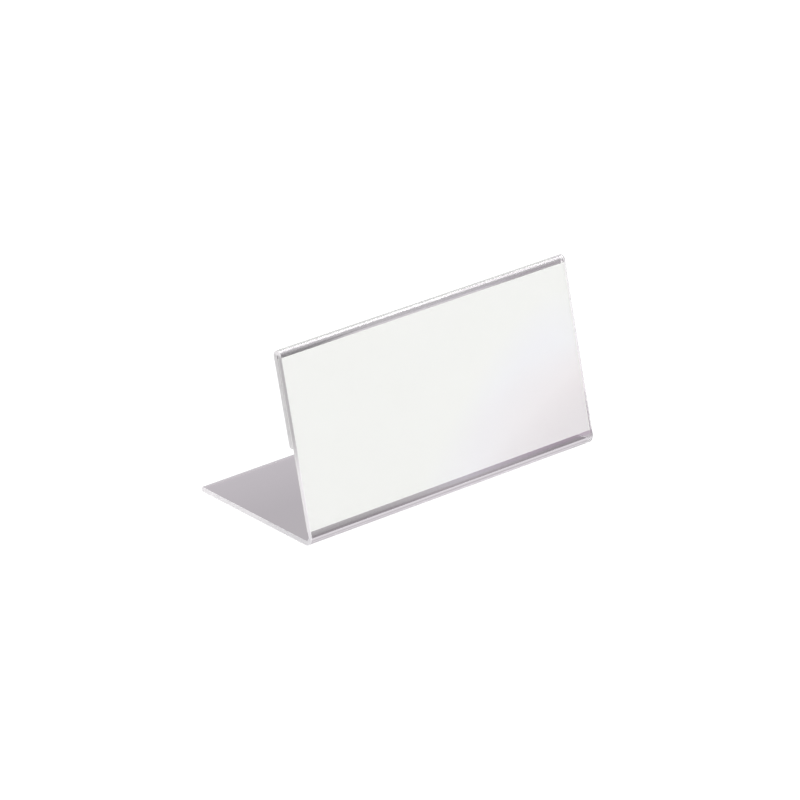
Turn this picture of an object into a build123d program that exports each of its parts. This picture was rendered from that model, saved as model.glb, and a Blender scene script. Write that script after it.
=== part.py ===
from build123d import *

import os
from math import asin, cos, degrees, radians, sin

# Place card holder: one strip of clear sheet, bent round the card that it holds.
# X runs along the width, Y from front to back and Z up. The origin is on the table, under the middle
# of the holder's outline. Lengths are in millimetres.

# The card
card_width = 99.7
card_height = 47.4
card_thickness = 0.25

# How the card sits in its pocket
card_end_margin = 0.15  # from each end of the card to the end of the sheet
card_seat_gap = 1.0  # from the card's lower edge to the start of the front bend
card_headroom = 0.95  # from the card's upper edge to the crown of the pocket
slide_clearance = 0.03  # on each face of the card, at the lip of the flap
fold_slack = 0.14  # how much wider the pocket is at the fold than at the lip

# The bent sheet
sheet_thickness = 1.3
foot_depth = 46.3  # from the front of the bend to the rear edge of the foot
bend_inner_radius = 1.4
lean_angle = 75.9  # between the foot and the front pane, in degrees
flap_length = 26.9  # from the crown of the fold down to the lip
edge_break = 0.2  # rounding of the polished cut edges

# Sizes that follow from those above
stand_width = card_width + 2 * card_end_margin
bend_outer_radius = bend_inner_radius + sheet_thickness
lip_gap = card_thickness + 2 * slide_clearance
fold_inner_radius = (lip_gap + fold_slack) / 2
fold_outer_radius = fold_inner_radius + sheet_thickness
pane_straight = card_seat_gap + card_height + card_headroom - fold_inner_radius
flap_straight = flap_length - fold_outer_radius
lip_round = sheet_thickness - 2 * edge_break  # rounding of the lip's rear edge
pinch_angle = degrees(asin(fold_slack / flap_straight))  # the flap leans in, to grip the card

# The bend's centre and the two directions of the leaning pane, in the side view (Y, Z)
front_edge = -foot_depth / 2
bend_center = (front_edge + bend_outer_radius, bend_outer_radius)
up_pane = (cos(radians(lean_angle)), sin(radians(lean_angle)))
behind_pane = (up_pane[1], -up_pane[0])

os.makedirs("parts", exist_ok=True)

# The sheet follows its middle line: foot, front bend, pane, hairpin fold and back flap
with BuildPart() as folded_stand:
    with BuildSketch(Plane.YZ) as strip_section:
        with BuildLine() as middle_line:
            foot = Line((foot_depth / 2, sheet_thickness / 2), (bend_center[0], sheet_thickness / 2))
            bend = JernArc(
                foot @ 1, foot % 1, bend_inner_radius + sheet_thickness / 2, lean_angle - 180
            )
            pane = PolarLine(bend @ 1, pane_straight, lean_angle)
            fold = JernArc(
                pane @ 1, pane % 1, fold_inner_radius + sheet_thickness / 2, -180 - pinch_angle
            )
            flap = PolarLine(fold @ 1, flap_straight, lean_angle - 180 - pinch_angle)
        trace(line_width=sheet_thickness)
        lip_front, lip_rear = strip_section.vertices().sort_by_distance(flap @ 1)[:2].sort_by(Axis.X)
        fillet(lip_rear, lip_round)
    extrude(amount=stand_width / 2, both=True)
    side_cuts = folded_stand.faces().filter_by(Axis.X)
    long_edges = folded_stand.edges().filter_by(Axis.X)
    foot_edges = long_edges.sort_by(Axis.Y)[-2:]
    lip_edge = long_edges.sort_by_distance(Plane.YZ.from_local_coords(lip_front))[0]
    fillet([*side_cuts.edges(), *foot_edges, lip_edge], edge_break)
folded_stand.part.label = "folded_stand"

# The card lies flat behind the pane, just above the bend
card_origin = [
    center - bend_inner_radius * back + card_seat_gap * up + slide_clearance * back
    for center, back, up in zip(bend_center, behind_pane, up_pane)
]
card_plane = Plane(origin=(0, *card_origin), x_dir=(-1, 0, 0), z_dir=(0, *behind_pane))

with BuildPart() as name_card:
    with BuildSketch(card_plane):
        Rectangle(card_width, card_height, align=(Align.CENTER, Align.MIN))
    extrude(amount=card_thickness)
name_card.part.label = "name_card"

export_step(folded_stand.part, "parts/folded_stand.step")
export_step(name_card.part, "parts/name_card.step")
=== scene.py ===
from math import cos, pi, radians, sin

import bmesh
import bpy
from mathutils import Matrix, Quaternion, Vector


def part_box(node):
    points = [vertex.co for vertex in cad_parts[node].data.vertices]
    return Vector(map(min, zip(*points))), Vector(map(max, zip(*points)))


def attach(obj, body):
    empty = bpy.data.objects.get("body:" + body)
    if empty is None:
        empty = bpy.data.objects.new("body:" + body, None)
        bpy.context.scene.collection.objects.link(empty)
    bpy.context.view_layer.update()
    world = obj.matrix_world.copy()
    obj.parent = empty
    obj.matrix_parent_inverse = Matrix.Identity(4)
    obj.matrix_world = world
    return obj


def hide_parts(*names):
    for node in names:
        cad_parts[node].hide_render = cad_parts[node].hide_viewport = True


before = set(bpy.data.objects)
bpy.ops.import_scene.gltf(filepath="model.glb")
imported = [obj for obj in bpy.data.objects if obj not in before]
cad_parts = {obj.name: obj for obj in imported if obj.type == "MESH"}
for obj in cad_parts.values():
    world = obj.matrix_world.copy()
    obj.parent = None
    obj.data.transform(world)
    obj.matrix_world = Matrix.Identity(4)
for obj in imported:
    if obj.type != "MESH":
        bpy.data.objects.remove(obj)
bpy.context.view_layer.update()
scene = bpy.context.scene
mm = 0.001
mergeWithin = 1e-7  # metres between points that become one
trappedAfter = 2.5  # mirrored more often than this inside the sheet, sight goes straight on
print("frame loaded:", sorted(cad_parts))


# A shader socket that takes part in Python sums
class Wire:
    def __init__(self, tree, socket=None):
        self.tree = tree
        self.socket = socket

    def add(self, kind, settings=None, inputs=None, output=0):
        node = self.tree.nodes.new(kind)
        for name, value in (settings or {}).items():
            if name == "stops":
                self.setStops(node.color_ramp.elements, value)
            else:
                setattr(node, name, value)
        for key, value in (inputs or {}).items():
            if isinstance(value, Wire):
                self.tree.links.new(value.socket, node.inputs[key])
            else:
                node.inputs[key].default_value = value
        return Wire(self.tree, node.outputs[output] if node.outputs else None)

    def setStops(self, elements, stops):
        while len(elements) < len(stops):
            elements.new(1.0)
        for element, (place, colour) in zip(elements, stops):
            element.position = place
            element.color = colour

    def math(self, operation, first, second):
        return self.add("ShaderNodeMath", {"operation": operation}, {0: first, 1: second})

    def __add__(self, other):
        return self.math("ADD", self, other)

    def __radd__(self, other):
        return self.math("ADD", other, self)

    def __sub__(self, other):
        return self.math("SUBTRACT", self, other)

    def __rsub__(self, other):
        return self.math("SUBTRACT", other, self)

    def __mul__(self, other):
        return self.math("MULTIPLY", self, other)

    def __rmul__(self, other):
        return self.math("MULTIPLY", other, self)

    def orMore(self, other):
        return self.math("MAXIMUM", self, other)

    def ease(self, value, start, end):
        return self.add("ShaderNodeMapRange", {"interpolation_type": "SMOOTHSTEP"}, {
            "Value": value, "From Min": start, "From Max": end})

    def mix(self, share, first, second):
        return self.add("ShaderNodeMix", {"data_type": "RGBA"}, {
            "Factor": share, 6: first, 7: second}, output=2)


def newMaterial(name):
    material = bpy.data.materials.new(name)
    material.use_nodes = True
    material.node_tree.nodes.clear()
    return material, Wire(material.node_tree)


def isTrapped(wire):
    mirrored = wire.add("ShaderNodeLightPath", output="Glossy Depth")
    return wire.math("GREATER_THAN", mirrored, trappedAfter)


def passLight(wire, glass, tint):
    # lamps, bounced light and sight that is trapped in the sheet go straight through
    shadowRay = wire.add("ShaderNodeLightPath", output="Is Shadow Ray")
    diffuseRay = wire.add("ShaderNodeLightPath", output="Is Diffuse Ray")
    straight = wire.add("ShaderNodeBsdfTransparent", inputs={"Color": tint})
    passing = shadowRay.orMore(diffuseRay).orMore(isTrapped(wire))
    return wire.add("ShaderNodeMixShader", inputs={0: passing, 1: glass, 2: straight})


# Clear sheet: polished faces, faintly rippled by the heat of bending, with a few smudges; the
# outside of the fold is slightly hazed where the sheet was stretched
clearSheet = {
    "tint": (1, 1, 1, 1), "ior": 1.49, "roughness": 0.0, "smudge": 0.02, "smudgeScale": 140.0,
    "ripple": 0.05, "rippleScale": 45.0, "rippleDepth": 0.02 * mm,
    "crownFrom": 51.0 * mm, "crownFull": 51.4 * mm, "crownHaze": 0.3, "crownShare": 0.75,
    "shadow": (0.96, 0.96, 0.96, 1)}


def polishedGlass(wire, place, tint):
    smudge = wire.add("ShaderNodeTexNoise", inputs={"Vector": place, "Scale": clearSheet["smudgeScale"]})
    ripple = wire.add("ShaderNodeTexNoise", inputs={"Vector": place, "Scale": clearSheet["rippleScale"]})
    bump = wire.add("ShaderNodeBump", inputs={
        "Height": ripple, "Strength": clearSheet["ripple"], "Distance": clearSheet["rippleDepth"]})
    height = wire.add("ShaderNodeSeparateXYZ", inputs={0: place}, output="Z")
    crown = wire.ease(height, clearSheet["crownFrom"], clearSheet["crownFull"])
    inside = wire.add("ShaderNodeNewGeometry", output="Backfacing")
    return wire.add("ShaderNodeBsdfPrincipled", inputs={
        "Base Color": tint, "Transmission Weight": 1.0, "IOR": clearSheet["ior"],
        "Roughness": clearSheet["roughness"] + smudge * clearSheet["smudge"], "Normal": bump,
        "Coat Weight": crown * (1 - inside) * clearSheet["crownShare"],
        "Coat Roughness": clearSheet["crownHaze"], "Coat IOR": clearSheet["ior"]})


def makeClearSheet():
    material, wire = newMaterial("clearSheet")
    place = wire.add("ShaderNodeTexCoord", output="Object")
    glass = polishedGlass(wire, place, clearSheet["tint"])
    wire.add("ShaderNodeOutputMaterial", inputs={"Surface": passLight(wire, glass, clearSheet["shadow"])})
    return material


# Cut edges: sawn across and polished, white along the foot and the fold, with painted shade that
# makes them a little greyer at the bend and up the left end of the pocket, most of all on the pane,
# and a dark painted shade on the pane's clear rim low on the right end
cutEdge = {
    "white": (0.98, 0.955, 0.977, 1), "paneShade": (0.5, 0.485, 0.495, 1),
    "flapShade": (0.78, 0.765, 0.775, 1), "bendShade": (0.87, 0.85, 0.88, 1), "rimShade": (0.5, 0.48, 0.5, 1),
    "clear": 0.15, "roughness": 0.25, "marks": 0.2, "markScale": 2500.0, "markDetail": 3.0,
    "markDepth": 0.02 * mm, "whiteBelow": 18 * mm, "greyFrom": 31 * mm, "greyUpTo": 50.6 * mm,
    "crown": 51.5 * mm, "bendTop": 5 * mm, "bendFoot": 2 * mm, "bendFrom": 4 * mm, "bendFull": -14 * mm,
    "rimTop": 16 * mm, "rimFull": 9 * mm, "rimDepth": 1.5 * mm, "shadow": (0.9, 0.9, 0.9, 1)}


def makeCutEdge(name, mirrorsInside, paneFace, behindPane, pocketDepth):
    material, wire = newMaterial(name)
    place = wire.add("ShaderNodeTexCoord", output="Object")
    marks = wire.add("ShaderNodeTexNoise", inputs={
        "Vector": place, "Scale": cutEdge["markScale"], "Detail": cutEdge["markDetail"]})
    side = wire.add("ShaderNodeSeparateXYZ", inputs={0: place}, output="X")
    along = wire.add("ShaderNodeSeparateXYZ", inputs={0: place}, output="Y")
    height = wire.add("ShaderNodeSeparateXYZ", inputs={0: place}, output="Z")
    depth = wire.add("ShaderNodeVectorMath", {"operation": "DOT_PRODUCT"}, {0: place, 1: behindPane}, "Value")
    leftEnd = wire.math("LESS_THAN", side, 0.0)
    pocket = wire.ease(height, cutEdge["whiteBelow"], cutEdge["greyFrom"])
    fold = wire.ease(height, cutEdge["greyUpTo"], cutEdge["crown"])
    towardsFlap = wire.add("ShaderNodeMapRange", inputs={
        "Value": depth, "From Min": paneFace, "From Max": paneFace + pocketDepth})
    # painted shade: up the left end of the pocket the edges grey, most of all on the pane
    grey = wire.mix(towardsFlap, cutEdge["paneShade"], cutEdge["flapShade"])
    # painted shade: the edges grey low down at the front bend
    bend = wire.ease(height, cutEdge["bendTop"], cutEdge["bendFoot"])
    bend = bend * wire.ease(along, cutEdge["bendFrom"], cutEdge["bendFull"])
    colour = wire.mix(bend, cutEdge["white"], cutEdge["bendShade"])
    colour = wire.mix(leftEnd * pocket * (1 - fold), colour, grey)
    bump = wire.add("ShaderNodeBump", inputs={
        "Height": marks, "Strength": cutEdge["marks"], "Distance": cutEdge["markDepth"]})
    edge = wire.add("ShaderNodeBsdfPrincipled", inputs={
        "Base Color": colour, "Transmission Weight": cutEdge["clear"], "IOR": clearSheet["ior"],
        "Roughness": cutEdge["roughness"] + marks * cutEdge["marks"], "Normal": bump})
    if mirrorsInside:
        clear = wire.add("ShaderNodeNewGeometry", output="Backfacing")
        glass = polishedGlass(wire, place, clearSheet["tint"])
    else:
        # painted shade: low on the right end the pane's rim is glass with a dark tint
        paneRim = wire.math("LESS_THAN", depth, paneFace + cutEdge["rimDepth"])
        clear = (1 - leftEnd) * paneRim * wire.ease(height, cutEdge["rimTop"], cutEdge["rimFull"])
        glass = polishedGlass(wire, place, cutEdge["rimShade"])
    edge = wire.add("ShaderNodeMixShader", inputs={0: clear, 1: edge, 2: glass})
    wire.add("ShaderNodeOutputMaterial", inputs={"Surface": passLight(wire, edge, cutEdge["shadow"])})
    return material


# Card: smooth white paper with a faint cloud and fine fibres
cardPaper = {
    "white": (0.9, 0.908, 0.885, 1), "warm": (0.885, 0.89, 0.862, 1), "cloudScale": 60.0,
    "fibreScale": 3500.0, "fibreDetail": 5.0, "fibre": 0.06, "fibreDepth": 0.01 * mm,
    "roughness": 0.72, "sheen": 0.3}


def makeCardPaper():
    material, wire = newMaterial("cardPaper")
    place = wire.add("ShaderNodeTexCoord", output="Object")
    cloud = wire.add("ShaderNodeTexNoise", inputs={"Vector": place, "Scale": cardPaper["cloudScale"]})
    fibres = wire.add("ShaderNodeTexNoise", inputs={
        "Vector": place, "Scale": cardPaper["fibreScale"], "Detail": cardPaper["fibreDetail"]})
    colour = wire.mix(cloud, cardPaper["white"], cardPaper["warm"])
    bump = wire.add("ShaderNodeBump", inputs={
        "Height": fibres, "Strength": cardPaper["fibre"], "Distance": cardPaper["fibreDepth"]})
    paper = wire.add("ShaderNodeBsdfPrincipled", inputs={
        "Base Color": colour, "Roughness": cardPaper["roughness"] + fibres * cardPaper["fibre"],
        "Specular IOR Level": cardPaper["sheen"], "Normal": bump})
    wire.add("ShaderNodeOutputMaterial", inputs={"Surface": paper})
    return material


def newPiece(name, bm, body, node, materials):
    bmesh.ops.remove_doubles(bm, verts=bm.verts, dist=mergeWithin)
    bmesh.ops.recalc_face_normals(bm, faces=bm.faces)
    for face in bm.faces:
        face.smooth = True
    mesh = bpy.data.meshes.new(name)
    bm.to_mesh(mesh)
    bm.free()
    piece = bpy.data.objects.new(name, mesh)
    scene.collection.objects.link(piece)
    for material in materials:
        mesh.materials.append(material)
    shading = piece.modifiers.new("flatFaces", "WEIGHTED_NORMAL")
    shading.mode = "FACE_AREA"
    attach(piece, body)
    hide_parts(node)
    print(name, "faces:", len(mesh.polygons))
    return piece


# The folded sheet: its side view grows from the foot's rear end, then takes the strip's width
folded = {
    "thickness": 1.3 * mm, "bendRadius": 1.4 * mm, "lean": radians(75.9), "foldGap": 0.45 * mm,
    "lipGap": 0.31 * mm, "flapLength": 26.9 * mm, "edgeRound": 0.2 * mm, "lipRound": 0.9 * mm,
    "bendSteps": 40, "foldSteps": 60, "lipSteps": 10, "edgeSteps": 4, "sharp": radians(60),
    "endFacing": 0.9, "rimFacing": 0.1}


def pushEdge(bm, edge, move):
    made = bmesh.ops.extrude_edge_only(bm, edges=[edge])["geom"]
    bmesh.ops.translate(bm, vec=move, verts=[v for v in made if isinstance(v, bmesh.types.BMVert)])
    return next(e for e in made if isinstance(e, bmesh.types.BMEdge))


def spinEdge(bm, edge, center, angle, steps):
    made = bmesh.ops.spin(
        bm, geom=[*edge.verts, edge], cent=center, axis=(1, 0, 0), angle=angle, steps=steps)["geom_last"]
    return next(e for e in made if isinstance(e, bmesh.types.BMEdge))


def makeFoldedSheet():
    low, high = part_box("folded_stand")
    thickness, lean = folded["thickness"], folded["lean"]
    bendOuter = folded["bendRadius"] + thickness
    foldOuter = folded["foldGap"] / 2 + thickness
    bendCenter = Vector((low.x, low.y + bendOuter, bendOuter))
    upPane = Vector((0, cos(lean), sin(lean)))
    outOfPane = Vector((0, -sin(lean), cos(lean)))
    paneRun = (high.z - bendOuter - foldOuter - (bendOuter - foldOuter) * cos(lean)) / sin(lean)
    foldCenter = bendCenter + outOfPane * (bendOuter - foldOuter) + upPane * paneRun
    flapRun = folded["flapLength"] - foldOuter
    pinch = (folded["foldGap"] - folded["lipGap"]) / flapRun
    downFlap = Matrix.Rotation(-pinch, 3, "X") @ -upPane

    bm = bmesh.new()
    cut = bm.edges.new([bm.verts.new((low.x, high.y, z)) for z in (low.z, low.z + thickness)])
    cut = pushEdge(bm, cut, (0, bendCenter.y - high.y, 0))
    cut = spinEdge(bm, cut, bendCenter, -(pi - lean), folded["bendSteps"])
    cut = pushEdge(bm, cut, upPane * paneRun)
    cut = spinEdge(bm, cut, foldCenter, -(pi + pinch), folded["foldSteps"])
    lip = pushEdge(bm, cut, downFlap * flapRun)
    lipRear = max(lip.verts, key=lambda v: v.co.y)
    bmesh.ops.bevel(bm, geom=[lipRear], offset=folded["lipRound"], segments=folded["lipSteps"],
                    profile=0.5, affect="VERTICES", material=-1)

    wide = bmesh.ops.extrude_face_region(bm, geom=bm.faces[:])["geom"]
    farEnd = [v for v in wide if isinstance(v, bmesh.types.BMVert)]
    bmesh.ops.translate(bm, vec=(high.x - low.x, 0, 0), verts=farEnd)
    bmesh.ops.recalc_face_normals(bm, faces=bm.faces)
    # the sheet's faces keep the first finish, the cut ends take the second and their rims the third
    for face in bm.faces:
        face.material_index = 1 if abs(face.normal.x) > folded["endFacing"] else 0
    rims = [e for e in bm.edges if e.calc_face_angle(0) > folded["sharp"]]
    rounded = bmesh.ops.bevel(bm, geom=rims, offset=folded["edgeRound"], segments=folded["edgeSteps"],
                              profile=0.5, affect="EDGES", material=-1, clamp_overlap=True)
    for face in rounded["faces"]:
        face.material_index = 2 if abs(face.normal.x) > folded["rimFacing"] else 0
    paneFace = -outOfPane.dot(bendCenter) - bendOuter
    pocketDepth = 2 * thickness + folded["foldGap"]
    finishes = [makeClearSheet(), makeCutEdge("cutEnd", True, paneFace, -outOfPane, pocketDepth),
                makeCutEdge("cutRim", False, paneFace, -outOfPane, pocketDepth)]
    return newPiece("foldedSheet", bm, "stand", "folded_stand", finishes)


# The card: a thin leaf behind the pane, with softly pressed edges
card = {"thickness": 0.25 * mm, "edgeRound": 0.05 * mm, "edgeSteps": 2}


def makeCard():
    low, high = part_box("name_card")
    lean, thickness = folded["lean"], card["thickness"]
    height = (high.z - low.z - thickness * cos(lean)) / sin(lean)
    bm = bmesh.new()
    bmesh.ops.create_cube(bm, size=1.0)
    bmesh.ops.scale(bm, vec=(high.x - low.x, thickness, height), verts=bm.verts)
    bmesh.ops.bevel(bm, geom=bm.edges[:], offset=card["edgeRound"], segments=card["edgeSteps"],
                    profile=0.5, affect="EDGES", material=-1)
    place = Matrix.Translation((low + high) / 2) @ Matrix.Rotation(lean - pi / 2, 4, "X")
    bmesh.ops.transform(bm, matrix=place, verts=bm.verts)
    return newPiece("nameCard", bm, "card", "name_card", [makeCardPaper()])


makeFoldedSheet()
makeCard()


# Stage: a white table that shows its own grey in the sheet, bright in front of the holder and
# shaded where two walls of the sheet lie over it; the tones run from front to rear, in millimetres,
# and hold painted light: a painted bright line with painted shade behind it just under the front
# bend, and painted shade behind the fold. Sight trapped in the sheet sees a pale painted light,
# in place of light that leaves by the sheet's ends
table = {
    "size": 12.0, "below": 0.05 * mm, "white": (0.95, 0.95, 0.95, 1), "glow": 1.3, "glowShare": 0.6,
    "tonesAndPaintedLight": [(-130.0, (1.6, 1.6, 1.6, 1)), (-60.0, (1.3, 1.3, 1.3, 1)), (-28.0, (1.05, 1.0, 1.05, 1)),
              (-24.0, (0.72, 0.68, 0.72, 1)), (-22.1, (0.75, 0.71, 0.75, 1)), (-21.0, (0.52, 0.49, 0.52, 1)),
              (-20.0, (0.47, 0.435, 0.465, 1)), (0.0, (0.475, 0.44, 0.475, 1)),
              (23.0, (0.55, 0.51, 0.55, 1)), (50.0, (0.4, 0.373, 0.4, 1)), (90.0, (0.56, 0.522, 0.56, 1))],
    "shade": (0.165, 0.142, 0.16, 1), "shadeFrom": -13.5 * mm, "shadeFull": -20 * mm, "twoWalls": 3.5,
    "trapped": (0.8, 0.76, 0.8, 1), "mirroredOnce": 0.5, "oneWall": 2.5}
# Painted light and shade as soft patches on the table: a bluish and two violet painted reflections
# that show only in what the pane mirrors, painted shade on the table behind the holder that is seen
# through both ends of the fold, and a lighter patch that eases the painted shade under the middle of the bend
paintedLightAndShade = [
    {"colour": (1.43, 1.37, 1.9, 1), "place": (0.177, -0.215, 0.0), "turn": (0, 0, radians(-51)),
     "size": (1.5, 0.031, 1.0), "depth": 1.9, "from": -60 * mm, "full": -100 * mm, "paneMirrors": True},
    {"colour": (1.06, 0.2, 0.5, 1), "place": (0.218, -0.165, 0.0), "turn": (0, 0, radians(-52)),
     "size": (0.73, 0.09, 1.0), "depth": 1.33, "from": -60 * mm, "full": -100 * mm, "paneMirrors": True},
    {"colour": (0.43, 0.0, 0.46, 1), "place": (0.126, -0.117, 0.0), "turn": (0, 0, radians(-48)),
     "size": (0.76, 0.034, 1.0), "depth": 1.4, "from": -60 * mm, "full": -100 * mm, "paneMirrors": True},
    {"colour": (0.12, 0.11, 0.12, 1), "place": (0.01, 0.072, 0.0), "turn": (0, 0, 0),
     "size": (0.04, 0.09, 1.0), "depth": 2.5, "from": 48 * mm, "full": 72 * mm, "paneMirrors": False},
    {"colour": (0.3, 0.275, 0.295, 1), "place": (0.13, 0.072, 0.0), "turn": (0, 0, 0),
     "size": (0.034, 0.09, 1.0), "depth": 2.5, "from": 48 * mm, "full": 72 * mm, "paneMirrors": False},
    {"colour": (0.42, 0.38, 0.415, 1), "place": (0.008, -0.0175, 0.0), "turn": (0, 0, 0),
     "size": (0.034, 0.005, 1.0), "depth": 1.0, "from": -14 * mm, "full": -16 * mm, "paneMirrors": False}]


def makeTable():
    bm = bmesh.new()
    bmesh.ops.create_grid(bm, x_segments=1, y_segments=1, size=table["size"] / 2)
    mesh = bpy.data.meshes.new("table")
    bm.to_mesh(mesh)
    bm.free()
    material, wire = newMaterial("table")
    place = wire.add("ShaderNodeTexCoord", output="Object")
    depth = wire.add("ShaderNodeSeparateXYZ", inputs={0: place}, output="Y")
    # the tones: the table's own grey, with painted light and painted shade under the front bend and behind
    # the fold
    front, rear = table["tonesAndPaintedLight"][0][0], table["tonesAndPaintedLight"][-1][0]
    stops = [((y - front) / (rear - front), tone) for y, tone in table["tonesAndPaintedLight"]]
    share = wire.add("ShaderNodeMapRange", inputs={
        "Value": depth, "From Min": front * mm, "From Max": rear * mm})
    colour = wire.add("ShaderNodeValToRGB", {"stops": stops}, {0: share})
    crossed = wire.add("ShaderNodeLightPath", output="Transmission Depth")
    twoWalls = wire.math("GREATER_THAN", crossed, table["twoWalls"])
    shaded = twoWalls * wire.ease(depth, table["shadeFrom"], table["shadeFull"])
    colour = wire.mix(shaded, colour, table["shade"])
    mirrored = wire.add("ShaderNodeLightPath", output="Glossy Depth")
    inPane = wire.math("GREATER_THAN", mirrored, table["mirroredOnce"])
    inPane = inPane * wire.math("LESS_THAN", crossed, table["oneWall"])
    # painted reflections, painted shade and a lighter patch, from the list above
    for spot in paintedLightAndShade:
        spotPlace = wire.add("ShaderNodeMapping", {"vector_type": "TEXTURE"}, {
            "Vector": place, "Location": spot["place"], "Rotation": spot["turn"], "Scale": spot["size"]})
        away = wire.add("ShaderNodeVectorMath", {"operation": "LENGTH"}, {0: spotPlace}, "Value")
        inSpot = wire.add("ShaderNodeMath", {"operation": "MULTIPLY", "use_clamp": True}, {
            0: 1 - away, 1: spot["depth"]})
        inSpot = inSpot * wire.ease(depth, spot["from"], spot["full"])
        if spot["paneMirrors"]:
            inSpot = inSpot * inPane
        colour = wire.mix(inSpot, colour, spot["colour"])
    # painted light: sight trapped in the sheet sees a pale tone
    colour = wire.mix(isTrapped(wire), colour, table["trapped"])
    matt = wire.add("ShaderNodeBsdfDiffuse", inputs={"Color": table["white"]})
    even = wire.add("ShaderNodeEmission", inputs={"Color": table["white"], "Strength": table["glow"]})
    white = wire.add("ShaderNodeMixShader", inputs={0: table["glowShare"], 1: matt, 2: even})
    shownInSheet = wire.add("ShaderNodeEmission", inputs={"Color": colour})
    inSheet = wire.add("ShaderNodeLightPath", output="Is Glossy Ray")
    wire.add("ShaderNodeOutputMaterial", inputs={
        "Surface": wire.add("ShaderNodeMixShader", inputs={0: inSheet, 1: white, 2: shownInSheet})})
    mesh.materials.append(material)
    floor = bpy.data.objects.new("table", mesh)
    floor.location.z = -table["below"]
    scene.collection.objects.link(floor)


# Light: a soft lamp in front, one high on the right that shows in hazed finishes only, two weak
# ones that show in none, and a pale room with a faint glow on the right
lamps = {
    "front": {"place": (-0.35, -1.1, 1.15), "size": (0.8, 0.8), "power": 7.1, "glints": "all"},
    "left": {"place": (-1.2, -0.25, 0.7), "size": (0.5, 0.5), "power": 1.5, "glints": "none"},
    "rear": {"place": (0.3, 1.1, 0.8), "size": (0.5, 0.5), "power": 3.4, "glints": "none"},
    "right": {"place": (0.85, 0.06, 1.16), "size": (0.95, 0.65), "power": 9.3, "glints": "hazed"}}
room = {
    "high": (0.5, 0.5, 0.5, 1), "low": (0.36, 0.36, 0.36, 1), "highFrom": 0.8, "white": (1, 1, 1, 1),
    "glow": (0.8, 0.8, 0.8, 1), "glowEdge": radians(32), "glowCore": radians(4)}


def makeLamps():
    for name, lamp in lamps.items():
        light = bpy.data.lights.new(name, "AREA")
        light.shape = "RECTANGLE"
        light.size, light.size_y = lamp["size"]
        light.energy = lamp["power"]
        holder = bpy.data.objects.new(name, light)
        holder.location = lamp["place"]
        holder.rotation_mode = "QUATERNION"
        holder.rotation_quaternion = (-Vector(lamp["place"])).to_track_quat("-Z", "Y")
        holder.visible_transmission = False
        holder.visible_glossy = lamp["glints"] != "none"
        if lamp["glints"] == "hazed":
            light.use_nodes = True
            light.node_tree.nodes.clear()
            wire = Wire(light.node_tree)
            sharp = wire.add("ShaderNodeLightPath", output="Is Singular Ray")
            shine = wire.add("ShaderNodeEmission", inputs={"Strength": 1 - sharp})
            wire.add("ShaderNodeOutputLight", inputs={"Surface": shine})
        scene.collection.objects.link(holder)


def makeRoom():
    world = bpy.data.worlds.new("room")
    world.use_nodes = True
    world.node_tree.nodes.clear()
    wire = Wire(world.node_tree)
    direction = wire.add("ShaderNodeTexCoord", output="Generated")
    height = wire.add("ShaderNodeSeparateXYZ", inputs={0: direction}, output="Z")
    walls = wire.add("ShaderNodeValToRGB", {
        "stops": [(0.0, room["low"]), (room["highFrom"], room["high"])]}, {0: height})
    towardsGlow = wire.add("ShaderNodeVectorMath", {"operation": "DOT_PRODUCT"}, {
        0: direction, 1: Vector(lamps["right"]["place"]).normalized()}, "Value")
    glow = wire.ease(towardsGlow, cos(room["glowEdge"]), cos(room["glowCore"]))
    mirrored = wire.add("ShaderNodeLightPath", output="Is Glossy Ray")
    through = wire.add("ShaderNodeLightPath", output="Is Transmission Ray")
    seen = wire.add("ShaderNodeLightPath", output="Is Camera Ray")
    colour = wire.mix(glow * mirrored * (1 - through), walls, room["glow"])
    colour = wire.mix(seen, colour, room["white"])
    background = wire.add("ShaderNodeBackground", inputs={"Color": colour})
    wire.add("ShaderNodeOutputWorld", inputs={"Surface": background})
    scene.world = world


# Camera: where the photograph was taken from
shot = {
    "azimuth": radians(-40.475), "elevation": radians(24.331), "roll": radians(-0.027),
    "distance": 1.456, "aim": (-0.004885, -0.006143, 0.023702), "lens": 244.48, "sensor": 36.0,
    "reach": 20.0}


def makeCamera():
    azimuth, elevation = shot["azimuth"], shot["elevation"]
    back = Vector((sin(azimuth) * cos(elevation), -cos(azimuth) * cos(elevation), sin(elevation)))
    camera = bpy.data.objects.new("camera", bpy.data.cameras.new("camera"))
    camera.data.lens = shot["lens"]
    camera.data.sensor_width = shot["sensor"]
    camera.data.clip_end = shot["reach"]
    camera.location = Vector(shot["aim"]) + back * shot["distance"]
    camera.rotation_mode = "QUATERNION"
    camera.rotation_quaternion = (-back).to_track_quat("-Z", "Y") @ Quaternion((0, 0, 1), shot["roll"])
    scene.collection.objects.link(camera)
    scene.camera = camera


makeTable()
makeLamps()
makeRoom()
makeCamera()
scene.view_settings.view_transform = "Standard"
print("stage, light and camera set")
